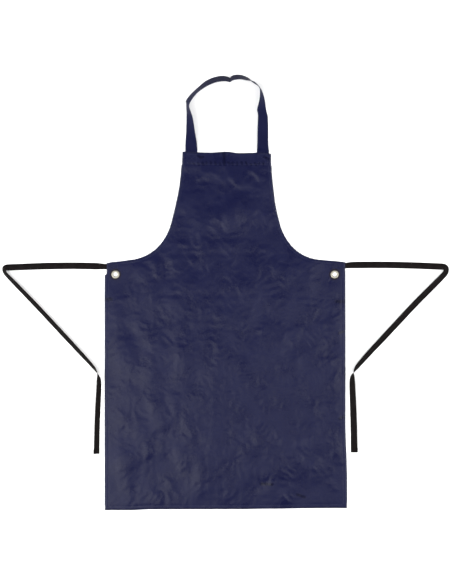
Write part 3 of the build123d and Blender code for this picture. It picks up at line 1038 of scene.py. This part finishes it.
# Painted shade along sharp creases and the top hem's dimples: dark, smoother marks that stand in for the
# shade inside them: (half width, points) in millimetres
creaseShadeStrokes = [
    (3.6, [(-9, 416), (-8, 400), (-7, 378)]),
    (4.0, [(-357, -23), (-338, -23)]),
    (4.5, [(357, -30), (330, -30)]),
    (3.0, [(-86, 404), (-76, 398), (-70, 401)]),
    (3.0, [(112, 402), (120, 400), (126, 396)]),
    (3.0, [(352, -118), (338, -124)]),
    (3.0, [(352, -372), (340, -378)]),
    (4.0, [(108, -571), (140, -573)]),
    (3.5, [(214, -604), (236, -612)]),
]
# painted shade: a row of short dark marks along the top hem, standing in for the shade in its dimples
creaseShadeStrokes += [(2.1, [(x, 381 + 13 * x % 7), (x + x % 6, 379 - x % 4)]) for x in range(-112, 118, 13)]


def creaseShadeAt(xs, ys):
    creaseShade = np.zeros(len(xs))
    for width, points in creaseShadeStrokes:
        stroke = cutRun(np.array(points) * mm, 1.5 * mm)
        for place in stroke:
            away = np.hypot(xs - place[0], ys - place[1])
            creaseShade = np.maximum(creaseShade, np.exp(-((away / (width * mm)) ** 2)))
    return creaseShade


def addValues(made, name, values):
    layer = made.data.attributes.new(name, "FLOAT", "POINT")
    layer.data.foreach_set("value", values.astype(np.float32))


def drawLine(store, run, closed=False):
    first = len(store["points"])
    store["points"] += [Vector(point) for point in run]
    last = len(store["points"])
    store["edges"] += [(spot, spot + 1) for spot in range(first, last - 1)]
    if closed:
        store["edges"].append((last - 1, first))


def cutRun(run, step):
    lengths = lineLengths(run)
    places = np.linspace(0.0, lengths[-1], max(2, round(lengths[-1] / step) + 1))
    return np.array([np.interp(places, lengths, run[:, axis]) for axis in range(2)]).T


def makeGrooveTree():
    runs = [cutRun(run, 1.0 * mm) for lines in seamLines(0.0).values() for run in lines]
    places = np.concatenate(runs)
    tree = kdtree.KDTree(len(places))
    for index, (x, y) in enumerate(places):
        tree.insert((x, y, 0.0), index)
    tree.balance()
    return tree


grooveTree = makeGrooveTree()


def pinchAt(xs, ys):
    # the groove that each seam pulls into the cloth, with little puckers along it
    reach = panel["puckerReach"]
    sink = np.zeros(len(xs))
    for spot, (x, y) in enumerate(zip(xs, ys)):
        away = grooveTree.find((x, y, 0.0))[2]
        if away < reach:
            pucker = 0.65 + 0.7 * noise.noise(Vector((x, y, 7.0)) / reach)
            sink[spot] = panel["seamPinch"] * pucker * math.exp(-((away / panel["seamReach"]) ** 2))
            sink[spot] += panel["pucker"] * noise.noise(Vector((x, y, 3.0)) / reach) * (1 - away / reach)
    return sink


def makePanel():
    step = panel["meshStep"]
    store = {"points": [], "edges": []}
    outline = np.concatenate([halfEdge[:-1], mirrored(halfEdge)[::-1][:-1]])
    drawLine(store, outline, True)
    for shift, spacing in ((-panel["seamReach"], 3.0 * mm), (0.0, 3.0 * mm), (panel["seamReach"], 3.0 * mm)):
        for runs in seamLines(shift).values():
            for run in runs:
                drawLine(store, cutRun(run, spacing))
    for side in (-1, 1):
        for radius, count in ((panel["eyeletHole"], 28), (eyeletReach + 1.2 * mm, 36)):
            turns = np.linspace(0, 2 * math.pi, count, endpoint=False)
            ringX = side * eyeletMiddle.x + radius * np.cos(turns)
            ringY = eyeletMiddle.y + radius * np.sin(turns)
            drawLine(store, np.column_stack([ringX, ringY]), True)
    tree = kdtree.KDTree(len(store["points"]))
    for index, point in enumerate(store["points"]):
        tree.insert((point.x, point.y, 0.0), index)
    tree.balance()
    rowStep = step * math.sqrt(3) / 2
    rows = int((bibTop - bottom) / rowStep)
    for row in range(rows):
        y = bottom + (row + 0.5) * rowStep
        reach = float(halfWidthAt(y))
        start = math.ceil(-reach / step) * step + (step / 2 if row % 2 else 0.0)
        for x in np.arange(start, reach, step):
            toEyelet = math.hypot(abs(x) - eyeletMiddle.x, y - eyeletMiddle.y)
            if toEyelet < panel["eyeletHole"]:
                continue
            away = tree.find((x, y, 0.0))[2]
            if away > 0.6 * step:
                store["points"].append(Vector((x, y)))
    meshed = delaunay_2d_cdt(store["points"], store["edges"], [], 1, 1e-6, False)
    flat = np.array(meshed[0])
    faces = meshed[2]
    centres = flat[np.array(faces)].mean(axis=1)
    toEyelet = np.hypot(np.abs(centres[:, 0]) - eyeletMiddle.x, centres[:, 1] - eyeletMiddle.y)
    within = np.abs(centres[:, 0]) < halfWidthAt(centres[:, 1]) + 0.01 * mm
    within &= toEyelet >= panel["eyeletHole"]
    kept = [face for face, inside in zip(faces, within) if inside]
    heights = clothTop(flat[:, 0], flat[:, 1]) - pinchAt(flat[:, 0], flat[:, 1])
    cloth = makeObject(
        "front_panel_cloth", np.column_stack([settled(flat), heights]), kept, [clothFront, clothBack]
    )
    rub = np.exp(-np.maximum(stripDistance(flat[:, 0], flat[:, 1]), 0.0) / (2.2 * mm))
    addValues(cloth, "rub", rub)
    addValues(cloth, "creaseShade", creaseShadeAt(flat[:, 0], flat[:, 1]))
    smoothShade(cloth)
    applyModifier(
        cloth,
        "SOLIDIFY",
        thickness=panel["thickness"],
        offset=-1.0,
        material_offset=1,
        use_even_offset=True,
    )
    return cloth


def flatArea():
    run = halfEdge
    return float(np.sum((run[:-1, 1] - run[1:, 1]) * (run[:-1, 0] + run[1:, 0])))


frontPanel = makePanel()
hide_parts("front_panel")
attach(frontPanel, "apron")
print("front panel laid:", len(frontPanel.data.polygons), "faces, cut area", round(flatArea(), 4), "m2")


# Turned hems: the cloth rolls over the panel's edge and runs back beneath it
def hemProfile(depth):
    # (distance in from the edge, height above the panel's underside) of the middle of the cloth
    half = panel["thickness"] / 2
    roll = [(-half * math.sin(turn), half * math.cos(turn)) for turn in np.linspace(0, math.pi, 7)]
    return roll + [(depth * share, -half) for share in (0.15, 0.4, 0.7, 1.0)]


def makeHem(name, rowAt, depth):
    rows = []
    for inset, rise in hemProfile(depth):
        run = rowAt(inset)
        under = clothTop(run[:, 0], run[:, 1]) - panel["thickness"]
        if inset > 0.5 * mm:
            under = under - 0.02 * mm
        rows.append(np.column_stack([settled(run), under + rise]))
    count = len(rows[0])
    faces = []
    for row in range(len(rows) - 1):
        for spot in range(count - 1):
            first = row * count + spot
            faces.append((first, first + 1, first + count + 1, first + count))
    hem = makeObject(name, np.concatenate(rows), faces, [clothFront, clothBack])
    rub = np.exp(-np.abs(np.repeat([inset for inset, rise in hemProfile(depth)], count)) / (2.2 * mm))
    addValues(hem, "rub", rub)
    applyModifier(hem, "SOLIDIFY", thickness=panel["thickness"] * 0.96, offset=0.0)
    outwardNormals(hem)
    smoothShade(hem)
    return hem


def topHemRow(inset):
    y = bibTop - inset
    reach = float(halfWidthAt(min(y, bibTop)))
    return np.column_stack([np.linspace(-reach, reach, 60), np.full(60, y)])


def bottomHemRow(inset):
    return np.column_stack([np.linspace(-halfSkirt, halfSkirt, 150), np.full(150, bottom + inset)])


def sideHemRow(inset, side):
    ys = np.linspace(bottom + bottomHemDepth + 0.5 * mm, tieLevel - 10.8 * mm, 140)
    trimmed = min(inset, 2.0 * mm)
    insets = np.where(ys > sideHemTop, trimmed, inset)
    return np.column_stack([side * (halfSkirt - insets), ys])


def armholeHemRow(inset, side):
    runs = panelEdge(inset)
    run = joinRuns([runs["side"], runs["armhole"], runs["shoulder"]])
    base = joinRuns([plainEdge["side"], plainEdge["armhole"], plainEdge["shoulder"]])
    keep = base[:, 1] < hemTopEdge - 0.3 * mm
    trimmed = panelEdge(min(inset, 1.5 * mm))
    short = joinRuns([trimmed["side"], trimmed["armhole"], trimmed["shoulder"]])
    run = np.where((base[:, 0] > seatEdge - 1 * mm)[:, None], short, run)[keep]
    return run * np.array([side, 1.0])


hems = [
    (makeHem("top_hem_fold", topHemRow, topHemDepth), "top_hem"),
    (makeHem("bottom_hem_fold", bottomHemRow, bottomHemDepth), "bottom_hem"),
]
for sideName, side in (("left", -1), ("right", 1)):
    hem = makeHem(f"{sideName}_side_fold", lambda inset: sideHemRow(inset, side), sideHemDepth)
    hems.append((hem, f"{sideName}_side_hem"))
    hem = makeHem(f"{sideName}_armhole_fold", lambda inset: armholeHemRow(inset, side), panel["armholeHem"])
    hems.append((hem, f"{sideName}_armhole_hem"))
for hem, node in hems:
    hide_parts(node)
    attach(hem, "apron")
print("hems turned")


# Neck strap: pairs of points on the outer edge, which lies down, and the inner edge, which stands up round
# the arch and leans inwards, as (x, height above the bib) in millimetres
strap = {
    "thickness": 1.6 * mm,
    "width": 36.0,
    "step": 3.0,
    "pinch": 0.22,
    "pucker": 0.18 * mm,
    "archSpread": 1.006,  # sets the arch's outer edge out and its inner edge in
}
leftLegStations = [
    ((-117.0, -34.0), (-81.0, -34.0)),
    ((-118.0, 0.0), (-81.5, 0.0)),
    ((-116.4, 44.0), (-86.6, 44.5)),
    ((-115.0, 69.0), (-90.3, 67.5)),
    ((-114.3, 101.0), (-95.4, 98.8)),
    ((-114.0, 117.0), (-100.0, 113.0)),
    ((-114.6, 129.0), (-105.0, 127.0)),
    ((-114.8, 137.0), (-106.6, 132.5)),
    ((-115.0, 145.0), (-106.0, 136.0)),
]
archStations = [
    ((-114.8, 149.5), (-106.2, 142.5)),
    ((-106.4, 162.0), (-99.6, 155.6)),
    ((-95.5, 174.0), (-87.3, 171.2)),
    ((-84.4, 184.0), (-77.0, 181.0)),
    ((-62.3, 203.6), (-55.3, 195.5)),
    ((-42.7, 214.7), (-35.6, 204.9)),
    ((-23.2, 220.9), (-20.8, 209.3)),
    ((-6.1, 222.6), (-3.6, 211.0)),
    ((7.0, 220.0), (8.0, 209.8)),
    ((14.8, 216.6), (14.9, 208.2)),
    ((18.5, 221.0), (19.5, 211.6)),
    ((25.5, 224.8), (26.0, 214.6)),
    ((37.0, 226.3), (40.7, 216.7)),
    ((50.3, 224.5), (50.5, 216.3)),
    ((67.4, 217.2), (63.0, 213.9)),
]
rightLegStations = [
    ((82.5, 207.5), (84.5, 206.0)),
    ((101.0, 194.8), (100.4, 190.5)),
    ((110.9, 177.8), (103.6, 178.6)),
    ((117.6, 155.6), (101.5, 153.0)),
    ((120.8, 133.4), (96.0, 130.0)),
    ((123.6, 119.0), (95.0, 122.0)),
    ((126.9, 103.9), (97.4, 108.0)),
    ((128.0, 66.0), (96.0, 66.0)),
    ((128.3, 27.6), (95.4, 28.0)),
    ((129.2, 12.0), (94.9, 12.0)),
    ((130.4, 0.0), (94.4, 0.0)),
    ((130.4, -34.0), (94.4, -34.0)),
]


def spreadPlace(place, share):
    # to a tenth of a millimetre, like the stations themselves
    x, up = place
    top = bibTop / mm
    return round(x * share, 1), round((up + top) * share - top, 1)


strapStations = list(leftLegStations)
for outer, inner in archStations:
    spread = strap["archSpread"]
    strapStations.append((spreadPlace(outer, spread), spreadPlace(inner, 1 / spread)))
strapStations += rightLegStations


def makeNeckStrap():
    rows = []
    for (lowX, lowUp), (highX, highUp) in strapStations:
        plan = min(math.hypot(lowX - highX, lowUp - highUp), strap["width"])
        rows.append((lowX, lowUp, highX, highUp, math.sqrt(strap["width"] ** 2 - plan**2)))
    line = smoothLine(rows, strap["step"]) * mm
    line[:, 4] = np.maximum(line[:, 4], 0.0)
    lying = np.column_stack([line[:, 0], line[:, 1] + bibTop, np.zeros(len(line))])
    standing = np.column_stack([line[:, 2], line[:, 3] + bibTop, line[:, 4]])
    across = standing - lying
    across /= np.linalg.norm(across, axis=1)[:, None]
    middles = (lying + standing) / 2
    along = np.gradient(middles, axis=0)
    ups = np.cross(along, across)
    ups /= np.linalg.norm(ups, axis=1)[:, None]
    ups *= np.sign(ups[0][2])
    middles[:, 2] += strap["thickness"] / 2 * np.abs(ups[:, 2]) + 0.02 * mm
    for spot, point in enumerate(middles):
        middles[spot][2] += abs(noise.noise(Vector(point) / (16 * mm))) * strap["pucker"]
    section = roundedSection(strapWidth, strap["thickness"], strap["pinch"])
    made = makeStrip("neck_strap", middles, across, ups, section, [strapCloth])
    nearEdge = np.array([abs(point[0]) / (strapWidth / 2) for point in section])
    rub = np.tile(np.clip(nearEdge - 0.9, 0, 1) * 10, len(middles))
    addValues(made, "rub", rub)
    return made, middles, across, ups


neckStrap, strapMiddles, strapAcross, strapUps = makeNeckStrap()
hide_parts("neck_loop", "neck_strap_left_end", "neck_strap_right_end")
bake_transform(neckStrap)
print("neck strap laid")


# Sewn tape ends behind the waist corners
def makeTapeSeat(sideName, side, route):
    outer = halfSkirt + route[0][0] + 0.5 * mm
    xs = side * np.linspace(seatEdge, outer, 12)
    rise = np.linspace(0.0, route[0][1], 12)
    centres = [np.array([x, tieLevel + above, tie["thickness"] / 2]) for x, above in zip(xs, rise)]
    acrosses = [np.array([0.0, 1.0, 0.0])] * len(xs)
    ups = [np.array([0.0, 0.0, 1.0])] * len(xs)
    section = roundedSection(tie["width"] * tie["gather"], tie["thickness"] * 0.98, 0.12)
    seat = makeStrip(f"{sideName}_tape_seat", centres, acrosses, ups, section, [tapeMaterial])
    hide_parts(f"{sideName}_tie_end")
    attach(seat, "apron")


makeTapeSeat("left", -1, leftTieRoute)
makeTapeSeat("right", 1, rightTieRoute)


# Sewing: one stitch is modelled, then copied along every seam
stitch = {
    "length": 2.9 * mm,
    "pitch": 3.6 * mm,
    "radius": 0.28 * mm,
    "sides": 6,
    "proud": 0.10 * mm,
    "lowest": 0.20 * mm,  # so that no thread goes down into the floor
}


def modelStitch():
    bpy.ops.object.select_all(action="DESELECT")
    bpy.ops.mesh.primitive_cylinder_add(
        vertices=stitch["sides"],
        radius=stitch["radius"],
        depth=stitch["length"] * 0.6,
        rotation=(0, math.pi / 2, 0),
    )
    made = bpy.context.active_object
    bpy.ops.object.transform_apply(location=True, rotation=True, scale=True)
    for end in (-1, 1):
        bpy.ops.object.mode_set(mode="EDIT")
        bpy.ops.mesh.select_all(action="DESELECT")
        bpy.ops.object.mode_set(mode="OBJECT")
        for face in made.data.polygons:
            face.select = face.normal.x * end > 0.9
        bpy.ops.object.mode_set(mode="EDIT")
        shift = (end * stitch["length"] * 0.2, 0, -0.22 * mm)
        bpy.ops.mesh.extrude_region_move(TRANSFORM_OT_translate={"value": shift})
        bpy.ops.transform.resize(value=(0.55, 0.55, 0.55))
        bpy.ops.object.mode_set(mode="OBJECT")
    points = np.array([vertex.co for vertex in made.data.vertices])
    faces = [tuple(face.vertices) for face in made.data.polygons]
    bpy.data.objects.remove(made)
    return points, faces


stitchPoints, stitchFaces = modelStitch()


def sewStitches(name, frames, material):
    # frames are (place, direction along the seam, outward direction) of each stitch
    points = []
    faces = []
    for place, along, up in frames:
        side = np.cross(up, along)
        first = len(points)
        points += [place + along * point[0] + side * point[1] + up * point[2] for point in stitchPoints]
        faces += [tuple(first + corner for corner in face) for face in stitchFaces]
    made = makeObject(name, points, faces, [material])
    outwardNormals(made)
    smoothShade(made)
    return made


def panelFrames(run, reverseDepth, laid=False):
    # stitches on both faces of the panel; a laid run is given where it lies and not on the cut cloth
    spots = cutRun(run, stitch["pitch"] / 2)
    spots = spots[: len(spots) - (len(spots) + 1) % 2]
    cut = unsettled(spots) if laid else spots
    tops = clothTop(cut[:, 0], cut[:, 1])
    lying = np.column_stack([spots if laid else settled(spots), tops])
    lying[:, 2] += stitch["proud"] - pinchAt(cut[:, 0], cut[:, 1])
    alongs = lying[2::2] - lying[:-2:2]
    alongs[:, 2] = tops[2::2] - tops[:-2:2]
    alongs /= np.linalg.norm(alongs, axis=1)[:, None]
    frames = []
    for top, along in zip(lying[1::2], alongs):
        up = np.array([0.0, 0.0, 1.0]) - along * along[2]
        up /= np.linalg.norm(up)
        frames.append((top, along, up))
        under = top - up * (2 * stitch["proud"] + panel["thickness"] + reverseDepth)
        under[2] = max(under[2], stitch["lowest"])
        frames.append((under, along, -up))
    return frames


def boxRuns(low, high):
    # a sewn box with a cross in it
    corners = [(low[0], low[1]), (high[0], low[1]), (high[0], high[1]), (low[0], high[1])]
    order = [(0, 1), (1, 2), (2, 3), (3, 0), (0, 2), (1, 3)]
    return [np.array([corners[first], corners[last]]) for first, last in order]


seamNodes = {
    "top_hem": "top_hem_stitching",
    "bottom_hem": "bottom_hem_stitching",
    "left_side": "left_side_stitching",
    "right_side": "right_side_stitching",
    "left_armhole": "left_armhole_stitching",
    "right_armhole": "right_armhole_stitching",
}
for seamName, runs in seamLines(0.0).items():
    frames = [one for run in runs for one in panelFrames(run, panel["thickness"])]
    seam = sewStitches(f"{seamName}_seam", frames, navyThread)
    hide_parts(seamNodes[seamName])
    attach(seam, "apron")

for sideName in ("left", "right"):
    low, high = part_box(f"neck_strap_{sideName}_stitching")
    runs = boxRuns(low, high)
    depth = panel["thickness"] + strap["thickness"]
    frames = [one for run in runs for one in panelFrames(run, depth, True)]
    seam = sewStitches(f"neck_strap_{sideName}_seam", frames, navyThread)
    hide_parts(f"neck_strap_{sideName}_stitching")
    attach(seam, "apron")

    low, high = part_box(f"{sideName}_tie_stitching")
    frames = [one for run in boxRuns(low, high) for one in panelFrames(run, tie["thickness"])]
    seam = sewStitches(f"{sideName}_tie_seam", frames, blackThread)
    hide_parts(f"{sideName}_tie_stitching")
    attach(seam, "apron")


def makeStrapSeams():
    # two rows of stitches that close the folded strap, on both of its faces
    lengths = lineLengths(strapMiddles)
    places = np.arange(36 * mm, lengths[-1] - 36 * mm, stitch["pitch"])
    middles = stationsAlong(strapMiddles, places)
    acrosses = np.array([np.interp(places, lengths, strapAcross[:, axis]) for axis in range(3)]).T
    ups = np.array([np.interp(places, lengths, strapUps[:, axis]) for axis in range(3)]).T
    lift = strap["thickness"] / 2 * (1 - strap["pinch"]) + 0.08 * mm
    frames = []
    for spot, across, up in zip(middles, acrosses, ups):
        along = np.cross(across, up)
        along /= np.linalg.norm(along)
        up = up / np.linalg.norm(up)
        for edge in (-1, 1):
            seat = spot + across * edge * (strapWidth / 2 * 0.86)
            frames.append((seat + up * lift, along, up))
            frames.append((seat - up * lift, along, -up))
    return sewStitches("neck_strap_edge_seams", frames, navyThread)


strapSeams = makeStrapSeams()
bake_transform(strapSeams)
print("seams sewn")

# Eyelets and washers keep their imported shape
for node in ("left_eyelet", "right_eyelet", "left_eyelet_washer", "right_eyelet_washer"):
    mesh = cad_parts[node].data
    mesh.materials.clear()
    mesh.materials.append(eyeletMetal)
print("eyelets finished")


# Studio: pale floor and soft light
studio = {
    "floorSize": 30.0,
    "floorLevel": -0.3 * mm,
    "worldStrength": 0.05,
    "lights": [  # name, place, size, power, and whether glossy surfaces mirror it
        ("leftSoftbox", (-2.9, 0.1, 2.2), (2.8, 3.6), 55.0, True),
        ("rightSoftbox", (2.9, 0.2, 2.2), (2.8, 3.6), 55.0, True),
        ("leftFill", (-2.9, 0.1, 2.2), (2.8, 3.6), 230.0, False),
        ("rightFill", (2.9, 0.2, 2.2), (2.8, 3.6), 220.0, False),
        ("leftGlow", (-1.20, -1.0, 2.7), (1.4, 2.6), 44.0, True),
        ("rightGlow", (1.35, -0.4, 2.7), (1.1, 1.8), 22.0, True),
    ],
}


def makeStudio():
    bpy.ops.object.select_all(action="DESELECT")
    bpy.ops.mesh.primitive_plane_add(size=studio["floorSize"], location=(0, 0, studio["floorLevel"]))
    floor = bpy.context.active_object
    floor.name = "studio_floor"
    material, tree, shader = startMaterial("whitePaperFloor", 0.95, 0.0)
    coordinates = tree.nodes.new("ShaderNodeTexCoord").outputs["Object"]
    grain = addNode(tree, "ShaderNodeTexNoise", Scale=3.0, Detail=2.0)
    tree.links.new(coordinates, grain.inputs["Vector"])
    tint = mixColour(tree, grain.outputs["Fac"], (0.90, 0.90, 0.90), (0.92, 0.92, 0.92))
    tree.links.new(tint, shader.inputs["Base Color"])
    floor.data.materials.append(material)
    world = bpy.data.worlds.new("softRoom")
    world.use_nodes = True
    world.node_tree.nodes["Background"].inputs["Strength"].default_value = studio["worldStrength"]
    world.node_tree.nodes["Background"].inputs["Color"].default_value = (1.0, 1.0, 1.0, 1.0)
    scene.world = world
    for name, place, size, power, mirrored in studio["lights"]:
        data = bpy.data.lights.new(name, "AREA")
        data.shape = "RECTANGLE"
        data.size, data.size_y = size
        data.energy = power
        light = bpy.data.objects.new(name, data)
        light.location = place
        light.visible_glossy = mirrored
        light.rotation_euler = (-Vector(place)).to_track_quat("-Z", "Y").to_euler()
        scene.collection.objects.link(light)
    scene.view_settings.view_transform = "Standard"


makeStudio()
print("studio ready")
